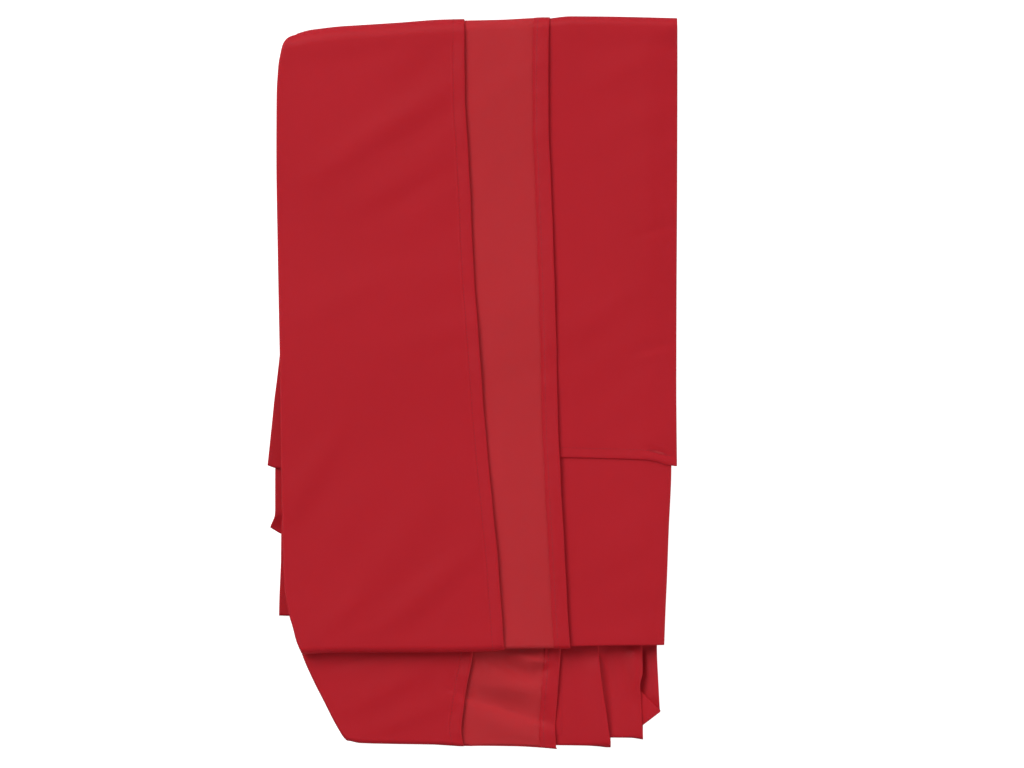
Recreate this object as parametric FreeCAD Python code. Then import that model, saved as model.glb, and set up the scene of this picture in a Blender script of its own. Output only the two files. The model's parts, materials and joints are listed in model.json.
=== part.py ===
"""A spray skirt of coated cloth, folded flat for storage.

Frame: millimetres, +Z up. The bundle lies on Z = 0 with its length along Y, and the
origin is the middle of its footprint. The cloth is folded lengthwise into leaves, then
crosswise into a lower packet and an upper packet, which opens about the top fold.
"""
import FreeCAD
import Part

import math
import os

V = FreeCAD.Vector
OUT = "parts"

# ---- driving dimensions ---------------------------------------------------------
LENGTH = 673.5          # whole bundle, along Y
WIDTH = 376.4           # whole bundle, along X, over the tucked edges
HEM = 12.0              # width of a turned hem
END_HEM = 10.0          # width of the hem across the cloth's end
LEAF = 1.0              # a leaf with the air it holds: two or three plies of cloth
OUTER_LEAF = 1.1        # the outer leaves, which lie a little fuller
HEM_PLY = 0.7           # the turned part of a hem, and a pleat
TUCK = 0.45             # an edge tucked between two leaves
THREAD = 0.3            # how far a row of stitches stands off the cloth
THREAD_WIDTH = 0.7      # width of a row of stitches
STITCH_INSET = 1.6      # from the turned edge of a hem to its stitches
CLEAR = 0.3             # between a leaf's end and the fold that carries it on
JOIN = 0.01             # between two pieces that meet face to face

RIGHT = WIDTH / 2
TOP = LENGTH / 2
BOTTOM = -LENGTH / 2

# ---- heights of the undersides ----------------------------------------------------
Z_BACK = 0.0
Z_BACK_REVERSE = 1.9
Z_BACK_INNER = 3.4
Z_TUCKED_END = 4.9
Z_PLEAT_THREE = 6.8
Z_PLEAT_TWO = 7.7
Z_PLEAT_ONE = 8.6
Z_LOWER_REVERSE = 9.7
Z_LOWER_FRONT = 12.5
HINGE_Z = 14.1
Z_TURNED_FRONT = 14.6
Z_TURNED_REVERSE = 17.3
Z_TURNED_RIGHT = 18.8
Z_RIGHT_UNDER = 20.3
Z_RIGHT_END = 22.3
Z_REVERSE = 23.8
Z_FRONT = 26.8
Z_TOP = Z_FRONT + OUTER_LEAF

# ---- the top fold: nested turns about an axis that lies inside them ------------------
HINGE_Y = TOP - 6.0
OUTER_TURN_R = Z_TOP - HINGE_Z
REVERSE_TURN_R = Z_REVERSE + LEAF - HINGE_Z
RIGHT_TURN_R = Z_RIGHT_END + LEAF - HINGE_Z
INNER_TURN_R = HINGE_Z - Z_LOWER_FRONT
TURN_STEP = 1.4                               # how far each turn sits inside the last
OUTER_TURN_Y = TOP - OUTER_TURN_R
REVERSE_TURN_Y = TOP - TURN_STEP - REVERSE_TURN_R
RIGHT_TURN_Y = TOP - 2 * TURN_STEP - RIGHT_TURN_R
INNER_TURN_Y = HINGE_Y - INNER_TURN_R
PACKED_TOP = OUTER_TURN_Y - CLEAR             # where the leaves between them stop

# ---- the folds at the lower ends -----------------------------------------------------
BOTTOM_FOLD_R = (Z_TOP - Z_TURNED_FRONT) / 2
BOTTOM_FOLD_Y = -240.0
BOTTOM_FOLD_Z = (Z_TOP + Z_TURNED_FRONT) / 2
BOTTOM_FOLD_STEP = 2.6
END_FOLD_R = (Z_LOWER_FRONT + OUTER_LEAF - Z_TUCKED_END) / 2
END_FOLD_Y = BOTTOM + END_FOLD_R
END_FOLD_Z = Z_TUCKED_END + END_FOLD_R
END_FOLD_STEP = 1.8

# ---- the lengthwise creases ------------------------------------------------------------
CREASE_X = -176.5
TURNED_CREASE_X = -174.5
LOWER_CREASE_X = -173.5
RIGHT_CREASE_X = RIGHT - (Z_RIGHT_END + LEAF - Z_TURNED_RIGHT) / 2

# ---- free edges of the leaves, from the lower end to the top -------------------------------
FRONT_EDGE = [(29.0, BOTTOM_FOLD_Y), (10.0, -12.0), (-7.5, 287.0)]
REVERSE_EDGE = [(89.0, BOTTOM_FOLD_Y), (80.5, -80.5), (74.0, 122.0), (69.5, 288.0)]
TURNED_FRONT_EDGE = [(29.0, BOTTOM_FOLD_Y), (31.0, 40.0)]
TURNED_REVERSE_EDGE = [(89.0, BOTTOM_FOLD_Y), (92.0, 60.0)]
LOWER_FRONT_EDGE = [(-9.5, END_FOLD_Y), (-9.5, -307.0), (-1.0, -251.0), (12.0, -60.0)]
LOWER_REVERSE_EDGE = [(77.0, END_FOLD_Y), (76.0, -310.0), (80.5, -246.0), (88.0, -60.0)]
BACK_EDGE = [(-18.0, END_FOLD_Y), (-12.0, -60.0)]
BACK_REVERSE_EDGE = [(60.0, END_FOLD_Y), (66.0, -60.0)]


def outline(points):
    """A closed wire through (x, y) corners; a third number is that corner's radius."""
    ends = []
    count = len(points)
    for i, point in enumerate(points):
        here = V(point[0], point[1], 0)
        if len(point) == 2:
            ends.append((here, here, None))
            continue
        back = (V(*points[i - 1][:2], 0) - here).normalize()
        on = (V(*points[(i + 1) % count][:2], 0) - here).normalize()
        half = back.getAngle(on) / 2
        cut = point[2] / math.tan(half)
        crown = (back + on).normalize() * (point[2] / math.sin(half) - point[2])
        ends.append((here + back * cut, here + on * cut, here + crown))
    edges = []
    for i, (start, stop, crown) in enumerate(ends):
        if crown is not None:
            edges.append(Part.Arc(start, crown, stop).toShape())
        following = ends[(i + 1) % count][0]
        edges.append(Part.LineSegment(stop, following).toShape())
    return Part.Wire(edges)


def plate(points, low, thick):
    """A flat piece with that outline, whose underside is at height low."""
    solid = Part.Face(outline(points)).extrude(V(0, 0, thick))
    solid.translate(V(0, 0, low))
    return solid


def beside(edge, start, stop):
    """The corners of a strip that follows an edge, between two distances from it in X."""
    near = [(x + start, y) for x, y in edge]
    far = [(x + stop, y) for x, y in reversed(edge)]
    return near + far


def below(edge, start, stop):
    """As beside, with the distances in Y."""
    near = [(x, y + start) for x, y in edge]
    far = [(x, y + stop) for x, y in reversed(edge)]
    return near + far


def half_tube(radius, wall, long):
    """Half a tube about the X axis from X = 0, bulging to +Y."""
    inner = radius - wall
    face = Part.Face(Part.Wire([
        Part.Arc(V(0, 0, -radius), V(0, radius, 0), V(0, 0, radius)).toShape(),
        Part.LineSegment(V(0, 0, radius), V(0, 0, inner)).toShape(),
        Part.Arc(V(0, 0, inner), V(0, inner, 0), V(0, 0, -inner)).toShape(),
        Part.LineSegment(V(0, 0, -inner), V(0, 0, -radius)).toShape(),
    ]))
    return face.extrude(V(long, 0, 0))


def top_turn(radius, wall, x_low, x_high, y):
    """Cloth turned over at the top, from the lower packet up to the upper one."""
    turn = half_tube(radius, wall, x_high - x_low)
    turn.translate(V(x_low, y, HINGE_Z))
    return turn


def lower_turn(radius, x_low, x_high, y, z):
    """Cloth turned under at the lower end of a packet, bulging to -Y."""
    turn = half_tube(radius, LEAF, x_high - x_low).mirror(V(0, 0, 0), V(0, 1, 0))
    turn.translate(V(x_low, y - JOIN, z))
    return turn


def side_turn(low, high, y_low, y_high, x, towards):
    """A lengthwise crease between two heights; towards is -1 at the left, +1 at the right."""
    radius = (high - low) / 2
    turn = half_tube(radius, LEAF, y_high - y_low)
    turn.rotate(V(0, 0, 0), V(0, 0, 1), -90)
    turn.translate(V(0, y_high - y_low, 0))
    if towards < 0:
        turn = turn.mirror(V(0, 0, 0), V(1, 0, 0))
    turn.translate(V(x + towards * JOIN, y_low, low + radius))
    return turn


def hem(name, edge, low, thick, ply_above, thread_above):
    """The turned ply and the row of stitches along a free edge at a leaf's right.

    The turn is always on the cloth's reverse, and the stitches show on the side that
    is seen, so each says whether it lies above the leaf.
    """
    ply_low = low + thick if ply_above else low - HEM_PLY
    row = STITCH_INSET - HEM
    if ply_above and thread_above:
        thread_low = ply_low + HEM_PLY
    elif thread_above:
        thread_low = low + thick
    elif ply_above:
        thread_low = low - THREAD
    else:
        thread_low = ply_low - THREAD
    return {
        name + "_hem": plate(beside(edge, -JOIN, -HEM), ply_low, HEM_PLY),
        name + "_stitching": plate(beside(edge, row, row - THREAD_WIDTH), thread_low, THREAD),
    }


def front_leaf():
    """Upper packet: the top leaf, face up, creased at the left and hemmed at the right."""
    edge = FRONT_EDGE + [(-7.5, OUTER_TURN_Y - CLEAR)]
    left = [(-158.0, OUTER_TURN_Y - CLEAR), (CREASE_X, 298.0), (CREASE_X, -150.0),
            (-160.0, BOTTOM_FOLD_Y)]
    made = {"front_leaf": plate(edge + left, Z_FRONT, OUTER_LEAF)}
    made.update(hem("front_leaf", edge, Z_FRONT, OUTER_LEAF, False, True))
    return made


def reverse_leaf():
    """Upper packet: the leaf under it, reverse up, and the crease that joins the two."""
    edge = REVERSE_EDGE + [(70.5, REVERSE_TURN_Y - CLEAR)]
    left = [(-160.0, REVERSE_TURN_Y - CLEAR), (CREASE_X, 298.0), (CREASE_X, -150.0),
            (-160.0, BOTTOM_FOLD_Y)]
    made = {"reverse_leaf": plate(edge + left, Z_REVERSE, LEAF)}
    made.update(hem("reverse_leaf", edge, Z_REVERSE, LEAF, True, True))
    made["side_crease"] = side_turn(Z_REVERSE, Z_TOP, -150.0, 298.0, CREASE_X, -1)
    return made


def right_leaves():
    """Upper packet: the hemmed end of the cloth at the right, its crease, the leaf below."""
    end_edge = [(20.0, -68.0), (154.0, -70.5), (168.0, -72.5), (RIGHT_CREASE_X, -76.5)]
    top = RIGHT_TURN_Y - CLEAR
    made = {
        "right_end_leaf": plate(
            end_edge + [(RIGHT_CREASE_X, top), (20.0, top)], Z_RIGHT_END, LEAF),
        "right_end_hem": plate(
            below(end_edge, JOIN, END_HEM), Z_RIGHT_END - HEM_PLY, HEM_PLY),
    }
    seen = [(92.0, -69.3)] + end_edge[1:]
    row = END_HEM - STITCH_INSET
    made["right_end_stitching"] = plate(
        below(seen, row - THREAD_WIDTH, row), Z_RIGHT_END + LEAF, THREAD)
    made["right_crease"] = side_turn(
        Z_TURNED_RIGHT, Z_RIGHT_END + LEAF, -76.0, top - 2.0, RIGHT_CREASE_X, 1)
    made["right_under_leaf"] = plate(
        [(-172.0, PACKED_TOP), (183.0, PACKED_TOP), (181.7, -80.0),
         (176.2, BOTTOM_FOLD_Y), (-150.0, BOTTOM_FOLD_Y), (-172.0, -150.0)],
        Z_RIGHT_UNDER, LEAF)
    return made


def turned_leaves():
    """Upper packet: its underside, which is the same cloth after the bottom fold."""
    front_top = INNER_TURN_Y - CLEAR
    front_edge = TURNED_FRONT_EDGE + [(26.0, front_top)]
    reverse_edge = TURNED_REVERSE_EDGE + [(92.0, PACKED_TOP)]
    lower_left = [(TURNED_CREASE_X, 290.0), (TURNED_CREASE_X, -150.0),
                  (-160.0, BOTTOM_FOLD_Y)]
    made = {
        "turned_front_leaf": plate(
            front_edge + [(-158.0, front_top)] + lower_left, Z_TURNED_FRONT, LEAF),
        "turned_reverse_leaf": plate(
            reverse_edge + [(-160.0, PACKED_TOP)] + lower_left, Z_TURNED_REVERSE, LEAF),
        "turned_right_leaf": plate(
            [(20.0, PACKED_TOP), (RIGHT_CREASE_X, PACKED_TOP), (RIGHT_CREASE_X, -60.0),
             (178.0, BOTTOM_FOLD_Y), (20.0, BOTTOM_FOLD_Y)], Z_TURNED_RIGHT, LEAF),
    }
    made.update(hem("turned_front", front_edge, Z_TURNED_FRONT, LEAF, True, False))
    made.update(hem("turned_reverse", reverse_edge, Z_TURNED_REVERSE, LEAF, False, False))
    made["turned_side_crease"] = side_turn(
        Z_TURNED_FRONT, Z_TURNED_REVERSE + LEAF, -150.0, 289.0, TURNED_CREASE_X, -1)
    return made


def lower_leaves():
    """Lower packet: its two upper leaves and the crease between them."""
    front_top = INNER_TURN_Y - CLEAR
    front_edge = LOWER_FRONT_EDGE + [(26.0, front_top)]
    reverse_edge = LOWER_REVERSE_EDGE + [(92.0, PACKED_TOP)]
    lower_left = [(LOWER_CREASE_X, 285.0), (LOWER_CREASE_X, -180.0), (-156.0, -251.0),
                  (-121.0, -321.0, 14.0), (-116.0, END_FOLD_Y)]
    made = {
        "lower_front_leaf": plate(
            front_edge + [(-158.0, front_top)] + lower_left, Z_LOWER_FRONT, OUTER_LEAF),
        "lower_reverse_leaf": plate(
            reverse_edge + [(-160.0, PACKED_TOP)] + lower_left, Z_LOWER_REVERSE, LEAF),
    }
    made.update(hem("lower_front", front_edge, Z_LOWER_FRONT, OUTER_LEAF, False, True))
    made.update(hem("lower_reverse", reverse_edge, Z_LOWER_REVERSE, LEAF, True, True))
    made["lower_side_crease"] = side_turn(
        Z_LOWER_REVERSE, Z_LOWER_FRONT + OUTER_LEAF, -180.0, 284.0, LOWER_CREASE_X, -1)
    return made


def pleats():
    """Lower packet: the pleats that fan out at the lower right, and a corner turned back."""
    one = [(122.0, END_FOLD_Y), (121.0, -301.0), (113.0, -246.0), (108.0, -100.0),
           (106.0, PACKED_TOP), (20.0, PACKED_TOP), (20.0, END_FOLD_Y)]
    two = [(156.5, -326.5), (154.0, -281.0), (156.0, -246.0), (150.0, -100.0),
           (146.0, PACKED_TOP), (30.0, PACKED_TOP), (30.0, -325.0), (149.0, -325.0)]
    three = [(171.5, -302.0), (169.5, -283.0), (168.5, -244.0), (174.0, 100.0),
             (174.0, PACKED_TOP), (40.0, PACKED_TOP), (40.0, -318.0), (140.0, -318.0)]
    corner = [(172.5, -303.0), (158.5, -310.5), (150.0, -316.0), (146.0, -284.0)]
    return {
        "pleat_one": plate(one, Z_PLEAT_ONE, HEM_PLY),
        "pleat_two": plate(two, Z_PLEAT_TWO, HEM_PLY),
        "pleat_three": plate(three, Z_PLEAT_THREE, HEM_PLY),
        "turned_corner": plate(corner, Z_PLEAT_THREE - HEM_PLY - 0.1, HEM_PLY),
    }


def back_leaves():
    """Lower packet: the leaves that it lies on, and the end that is folded in above them."""
    front_edge = BACK_EDGE + [(-7.5, OUTER_TURN_Y - CLEAR)]
    reverse_edge = BACK_REVERSE_EDGE + [(70.5, REVERSE_TURN_Y - CLEAR)]
    lower_left = [(-172.0, 290.0), (-172.0, -190.0), (-152.0, -256.0),
                  (-112.0, END_FOLD_Y)]
    right = [(72.0, PACKED_TOP), (184.0, PACKED_TOP), (184.0, 60.0), (172.0, -230.0),
             (152.0, END_FOLD_Y), (66.0, END_FOLD_Y)]
    inner = [(-164.0, PACKED_TOP), (178.0, PACKED_TOP), (176.0, 60.0), (164.0, -235.0),
             (146.0, -316.0), (-106.0, -316.0), (-148.0, -252.0), (-170.0, -200.0),
             (-172.0, 286.0)]
    end = [(-164.0, -40.0), (160.0, -40.0), (158.0, -235.0), (120.0, END_FOLD_Y),
           (-112.0, END_FOLD_Y), (-150.0, -252.0)]
    return {
        "back_leaf": plate(
            front_edge + [(-158.0, OUTER_TURN_Y - CLEAR)] + lower_left, Z_BACK, LEAF),
        "back_hem": plate(beside(front_edge, -JOIN, -HEM), Z_BACK + LEAF, HEM_PLY),
        "back_reverse_leaf": plate(
            reverse_edge + [(-160.0, REVERSE_TURN_Y - CLEAR)] + lower_left,
            Z_BACK_REVERSE, LEAF),
        "back_reverse_hem": plate(
            beside(reverse_edge, -JOIN, -HEM), Z_BACK_REVERSE - HEM_PLY, HEM_PLY),
        "back_right_leaf": plate(right, Z_BACK, LEAF),
        "back_inner_leaf": plate(inner, Z_BACK_INNER, LEAF),
        "tucked_end_leaf": plate(end, Z_TUCKED_END, LEAF),
    }


def left_tucks():
    """Lower packet: three edges that stand out at the left, between its leaves."""
    left = -RIGHT
    upper = [(-176.0, 60.0), (-177.5, 28.0), (-182.5, -16.0), (-186.3, -53.0),
             (left, -76.0), (-181.5, -79.0), (-171.0, -80.0), (-171.0, 60.0)]
    middle = [(-181.0, -60.0), (-181.8, -117.0), (-185.3, -128.0), (-186.0, -134.0),
              (-176.0, -139.5), (-171.5, -139.5), (-171.5, -60.0)]
    lower = [(-176.0, -125.0), (-177.0, -172.0), (-178.0, -200.0), (-177.6, -214.0),
             (-158.0, -214.0), (-171.0, -150.0)]
    return {
        "left_tuck_upper": plate(upper, Z_TUCKED_END + LEAF, LEAF),
        "left_tuck_middle": plate(middle, Z_BACK_INNER + LEAF, TUCK),
        "left_tuck_lower": plate(lower, Z_BACK_REVERSE + LEAF, TUCK),
    }


def folds():
    """The crosswise folds: four plies round the top, and two at each lower end."""
    return {
        "top_turn_front": top_turn(
            OUTER_TURN_R, OUTER_LEAF, -158.0, -7.5, OUTER_TURN_Y),
        "top_turn_reverse": top_turn(
            REVERSE_TURN_R, LEAF, -160.0, 70.5, REVERSE_TURN_Y),
        "top_turn_right": top_turn(
            RIGHT_TURN_R, LEAF, 20.0, RIGHT - 4.0, RIGHT_TURN_Y),
        "top_turn_inner": top_turn(
            INNER_TURN_R, LEAF, -158.0, 26.0, INNER_TURN_Y),
        "bottom_fold_outer": lower_turn(
            BOTTOM_FOLD_R, -156.0, 86.0, BOTTOM_FOLD_Y, BOTTOM_FOLD_Z),
        "bottom_fold_inner": lower_turn(
            BOTTOM_FOLD_R - BOTTOM_FOLD_STEP, -150.0, 174.0, BOTTOM_FOLD_Y,
            BOTTOM_FOLD_Z),
        "end_fold_outer": lower_turn(
            END_FOLD_R, -112.0, 76.0, END_FOLD_Y, END_FOLD_Z),
        "end_fold_inner": lower_turn(
            END_FOLD_R - END_FOLD_STEP, -106.0, 120.0, END_FOLD_Y, END_FOLD_Z),
    }


SECTIONS = (front_leaf, reverse_leaf, right_leaves, turned_leaves, lower_leaves, pleats,
            back_leaves, left_tucks, folds)


def main():
    os.makedirs(OUT, exist_ok=True)
    pieces = {}
    for section in SECTIONS:
        pieces.update(section())
    whole = FreeCAD.BoundBox()
    for name, shape in sorted(pieces.items()):
        if not shape.isValid() or shape.Volume <= 0:
            raise ValueError(name + " isn't a sound solid")
        shape.exportStep(os.path.join(OUT, name + ".step"))
        whole.add(shape.BoundBox)
    print(len(pieces), "pieces; box", whole)
    print("top fold's axis: y", HINGE_Y, "z", HINGE_Z)


main()
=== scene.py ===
import json
import math

import bpy
import numpy as np
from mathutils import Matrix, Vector


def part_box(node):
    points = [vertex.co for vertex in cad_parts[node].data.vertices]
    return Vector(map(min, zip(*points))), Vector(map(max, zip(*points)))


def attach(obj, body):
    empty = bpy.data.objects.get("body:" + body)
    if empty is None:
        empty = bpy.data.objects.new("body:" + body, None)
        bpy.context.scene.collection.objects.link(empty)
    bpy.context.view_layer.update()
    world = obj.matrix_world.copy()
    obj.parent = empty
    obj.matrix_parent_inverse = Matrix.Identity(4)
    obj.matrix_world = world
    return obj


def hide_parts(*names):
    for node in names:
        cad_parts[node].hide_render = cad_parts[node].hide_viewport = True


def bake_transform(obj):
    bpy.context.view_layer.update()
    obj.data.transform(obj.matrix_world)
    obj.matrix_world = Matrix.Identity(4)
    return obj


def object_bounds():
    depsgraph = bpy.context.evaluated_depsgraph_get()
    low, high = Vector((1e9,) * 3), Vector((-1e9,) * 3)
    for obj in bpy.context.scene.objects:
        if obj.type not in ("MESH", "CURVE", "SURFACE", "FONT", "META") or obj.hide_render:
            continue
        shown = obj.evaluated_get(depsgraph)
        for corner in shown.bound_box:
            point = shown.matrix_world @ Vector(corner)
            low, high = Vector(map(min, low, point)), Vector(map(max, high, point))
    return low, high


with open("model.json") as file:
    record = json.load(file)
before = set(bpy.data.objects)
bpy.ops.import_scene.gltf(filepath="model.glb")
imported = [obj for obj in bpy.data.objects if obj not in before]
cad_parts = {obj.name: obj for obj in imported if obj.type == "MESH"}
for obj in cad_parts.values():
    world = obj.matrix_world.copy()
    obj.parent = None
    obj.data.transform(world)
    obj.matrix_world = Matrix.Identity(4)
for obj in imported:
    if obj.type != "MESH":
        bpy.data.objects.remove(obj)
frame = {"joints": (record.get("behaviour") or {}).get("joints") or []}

cad_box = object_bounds()

# ---- Upper cloth ------------------------------------------------------------------
# One length of thin coated cloth with a hem down each side. It is folded lengthwise at
# the left, so its front leaf shows its face and the leaf below shows its reverse, then
# carried over the top fold to the back and under at the bottom fold.
MM = 0.001
CLOTH = 0.5 * MM                    # thickness of the coated cloth
EDGE_R = 0.5 * MM                   # how tightly a hem is turned
HEM = 12 * MM
REVERSE_HEM = 14.4 * MM             # the hem that is turned onto the reverse shows wider
STITCH_IN = 1.6 * MM                # from a hem's inner edge to its stitches
HEM_STEP = 0.15 * MM                # how far the leaf drops beyond the hem's inner edge
HINGE_Y, HINGE_Z = frame["joints"][0]["pos_m"][1:]
TOP = cad_box[1][1]
BOTTOM = cad_box[0][1]


def middle(node):
    """The height of the middle of a CAD leaf."""
    low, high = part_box(node)
    return (low.z + high.z) / 2


def through(*points):
    """A smooth line through a few (place, value) points in mm, level beyond its ends."""
    at, value = np.array(sorted(points), float).T * MM
    step = np.diff(value) / np.diff(at)
    slope = np.zeros(len(at))
    slope[0], slope[-1] = step[0], step[-1]
    same = step[1:] * step[:-1] > 0
    slope[1:-1][same] = 2 * (step[1:] * step[:-1])[same] / (step[1:] + step[:-1])[same]

    def read(t):
        t = np.clip(t, at[0], at[-1])
        i = np.clip(np.searchsorted(at, t) - 1, 0, len(at) - 2)
        span = at[i + 1] - at[i]
        f = (t - at[i]) / span
        return (value[i] * (1 + 2 * f) * (1 - f) ** 2 + value[i + 1] * f * f * (3 - 2 * f)
                + span * f * (1 - f) * (slope[i] * (1 - f) - slope[i + 1] * f))
    return read


def ease(t, low, high):
    """0 below low, 1 above high, and a smooth rise between them."""
    f = np.clip((t - low) / (high - low), 0, 1)
    return f * f * (3 - 2 * f)


def ridge(x, y, start, stop, width, rise, other=None):
    """A soft wrinkle from start to stop, all in mm, that dies away at both ends.

    width is its width on the left of the way it runs, other the width on the right.
    """
    a, b = np.array(start) * MM, np.array(stop) * MM
    run = b - a
    f = ((x - a[0]) * run[0] + (y - a[1]) * run[1]) / (run @ run)
    side = (run[0] * (y - a[1]) - run[1] * (x - a[0])) / np.linalg.norm(run)
    g = np.clip(f, 0, 1)
    away = np.hypot(x - a[0] - g * run[0], y - a[1] - g * run[1])
    away = away / (np.where(side > 0, width, other or width) * MM)
    return rise * MM * np.exp(-away ** 2) * (0.35 + 0.65 * np.sin(math.pi * g))


def swell(x, y):
    """The low, soft rise and fall of leaves that lie on air, drawn up towards the right."""
    drag = 0.84 * y - 0.55 * x
    across = 0.55 * y + 0.84 * x
    rise = 0.48 * np.sin(drag / 0.034 + 1.9 * np.sin(across / 0.083))
    rise += 0.30 * np.sin(drag / 0.061 + 0.8 + 1.2 * np.sin(across / 0.121))
    drawn = (0.5 + 0.5 * np.sin(across / 0.043 + 1.3 * np.sin(drag / 0.058))) ** 2
    rise += 0.28 * drawn * np.sin(drag / 0.0078 + 1.7 * np.sin(across / 0.051)
                                  + 1.1 * np.sin(y / 0.037))
    rise *= MM
    for start, stop, width, height_up in (((-150, 186), (-30, 266), 15, 0.62),
                                          ((-112, 158), (-22, 206), 13, 0.42),
                                          ((-150, 60), (-60, 108), 17, 0.35),
                                          ((-166, -120), (-120, -40), 12, 0.40),
                                          ((-66, -214), (6, -152), 14, 0.50),
                                          ((-140, -232), (-96, -190), 11, 0.35),
                                          ((2, 250), (64, 296), 10, 0.45),
                                          ((8, 190), (66, 232), 9, 0.35),
                                          ((22, -40), (74, 2), 11, 0.35),
                                          ((98, 268), (160, 300), 14, 0.45),
                                          ((90, 40), (150, 88), 16, 0.35),
                                          ((96, -190), (150, -150), 14, 0.35)):
        rise = rise + ridge(x, y, start, stop, width, 1.9 * height_up, width * 0.7)
    return rise


def rise_of(x, y, z):
    """How far a leaf at height z takes part in that: most at the top of the stack."""
    return swell(x, y) * (0.25 + 0.75 * np.clip((z - HINGE_Z) / (FRONT_Z - HINGE_Z), 0, 1))


def pucker(y, from_stitches, phase):
    """The gathers and the groove that a row of stitches draws into a hem.

    The groove is steep on the leaf's side and shallow on the side of the hem's edge.
    """
    wave = np.sin(y / 0.0019 + 2.1 * np.sin(y / 0.0137 + phase))
    wave += 0.7 * np.sin(y / 0.0047 + phase + 1.3 * np.sin(y / 0.029))
    near = np.exp(-(from_stitches / (5.5 * MM)) ** 2)
    groove = np.exp(-(from_stitches / np.where(from_stitches > 0, 3 * MM, 0.8 * MM)) ** 2)
    return near * wave * 0.1 * MM - groove * 0.22 * MM


def loose_edge(y, from_edge, phase):
    """How far a hem's free edge stands off what it lies on, more in some places."""
    lift = 0.55 * MM * (1 + np.sin(y / 0.043 + phase + 1.7 * np.sin(y / 0.071)))
    return lift * np.exp(-(from_edge / (6 * MM)) ** 2)


def hand_sewn(line, phase):
    """An edge with the slight waver of a hem that was turned and sewn by hand."""
    return lambda t: (line(t) + 0.2 * MM * np.sin(t / 0.024 + phase)
                      + 0.1 * MM * np.sin(t / 0.0087 + 2 * phase))


def arc(count, start, stop):
    """Angles in radians between two in degrees, both included."""
    return np.radians(np.linspace(start, stop, count))


def woven(name, points, flip=False):
    """A cloth's mesh from a grid of points, [row][column], with its own lengths as UVs."""
    rows, cols = points.shape[:2]
    mesh = bpy.data.meshes.new(name)
    first = (np.arange(rows - 1)[:, None] * cols + np.arange(cols - 1)).ravel()
    quads = np.stack([first, first + 1, first + cols + 1, first + cols], 1)
    if flip:
        quads = quads[:, ::-1]
    mesh.from_pydata(points.reshape(-1, 3).tolist(), [], quads.tolist())
    gap_u = np.linalg.norm(np.diff(points, axis=1), axis=2).mean(0)
    gap_v = np.linalg.norm(np.diff(points, axis=0), axis=2).mean(1)
    u = np.concatenate([[0], np.cumsum(gap_u)])
    v = np.concatenate([[0], np.cumsum(gap_v)])
    grid = np.stack(np.meshgrid(u, v), 2).reshape(-1, 2)
    layer = mesh.uv_layers.new(name="cloth")
    layer.data.foreach_set("uv", grid[quads.ravel()].ravel())
    piece = bpy.data.objects.new(name, mesh)
    bpy.context.scene.collection.objects.link(piece)
    return piece


def finish_cloth(piece, thick=CLOTH):
    """Gives a cloth its thickness, face on one side and reverse on the other."""
    piece.data.materials.append(cloth_face)
    piece.data.materials.append(cloth_reverse)
    bpy.ops.object.select_all(action="DESELECT")
    bpy.context.view_layer.objects.active = piece
    piece.select_set(True)
    wall = piece.modifiers.new("thickness", "SOLIDIFY")
    wall.thickness = thick
    wall.offset = 0
    wall.material_offset = 1
    bpy.ops.object.modifier_apply(modifier=wall.name)
    bpy.ops.object.shade_smooth()
    piece.select_set(False)


def srgb(r, g, b):
    """A linear colour from the three numbers of a colour chart, 0 to 255."""
    part = (np.array([r, g, b]) / 255 + 0.055) / 1.055
    return (*(part ** 2.4), 1)


def weave_group():
    """The weave and the dye's slow unevenness, shared by the face and the reverse."""
    group = bpy.data.node_groups.new("coated weave", "ShaderNodeTree")
    sockets = (("Thread Pitch", "INPUT", "NodeSocketFloat"),
               ("Crinkle", "INPUT", "NodeSocketFloat"),
               ("Height", "OUTPUT", "NodeSocketFloat"),
               ("Unevenness", "OUTPUT", "NodeSocketFloat"))
    for label, side, kind in sockets:
        group.interface.new_socket(name=label, in_out=side, socket_type=kind)
    add, wire = group.nodes.new, group.links.new
    given, out = add("NodeGroupInput"), add("NodeGroupOutput")
    place = add("ShaderNodeTexCoord")
    turns = add("ShaderNodeMath")
    turns.operation = "DIVIDE"
    turns.inputs[0].default_value = 2 * math.pi
    wire(given.outputs["Thread Pitch"], turns.inputs[1])
    scaled = add("ShaderNodeVectorMath")
    scaled.operation = "SCALE"
    wire(place.outputs["UV"], scaled.inputs[0])
    wire(turns.outputs[0], scaled.inputs["Scale"])
    split = add("ShaderNodeSeparateXYZ")
    wire(scaled.outputs[0], split.inputs[0])
    threads = []
    for axis in ("X", "Y"):
        thread = add("ShaderNodeMath")
        thread.operation = "SINE"
        wire(split.outputs[axis], thread.inputs[0])
        threads.append(thread)
    over = add("ShaderNodeMath")
    over.operation = "MULTIPLY"
    wire(threads[0].outputs[0], over.inputs[0])
    wire(threads[1].outputs[0], over.inputs[1])
    crinkle = add("ShaderNodeTexNoise")
    crinkle.inputs["Scale"].default_value = 210
    crinkle.inputs["Detail"].default_value = 3
    wire(place.outputs["Object"], crinkle.inputs["Vector"])
    amount = add("ShaderNodeMath")
    amount.operation = "MULTIPLY"
    wire(crinkle.outputs["Fac"], amount.inputs[0])
    wire(given.outputs["Crinkle"], amount.inputs[1])
    height = add("ShaderNodeMath")
    height.operation = "MULTIPLY_ADD"
    height.inputs[1].default_value = 0.25
    wire(over.outputs[0], height.inputs[0])
    wire(amount.outputs[0], height.inputs[2])
    wire(height.outputs[0], out.inputs["Height"])
    dye = add("ShaderNodeTexNoise")
    dye.inputs["Scale"].default_value = 9
    dye.inputs["Detail"].default_value = 4
    wire(place.outputs["Object"], dye.inputs["Vector"])
    wire(dye.outputs["Fac"], out.inputs["Unevenness"])
    return group


coated_weave = weave_group()


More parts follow.
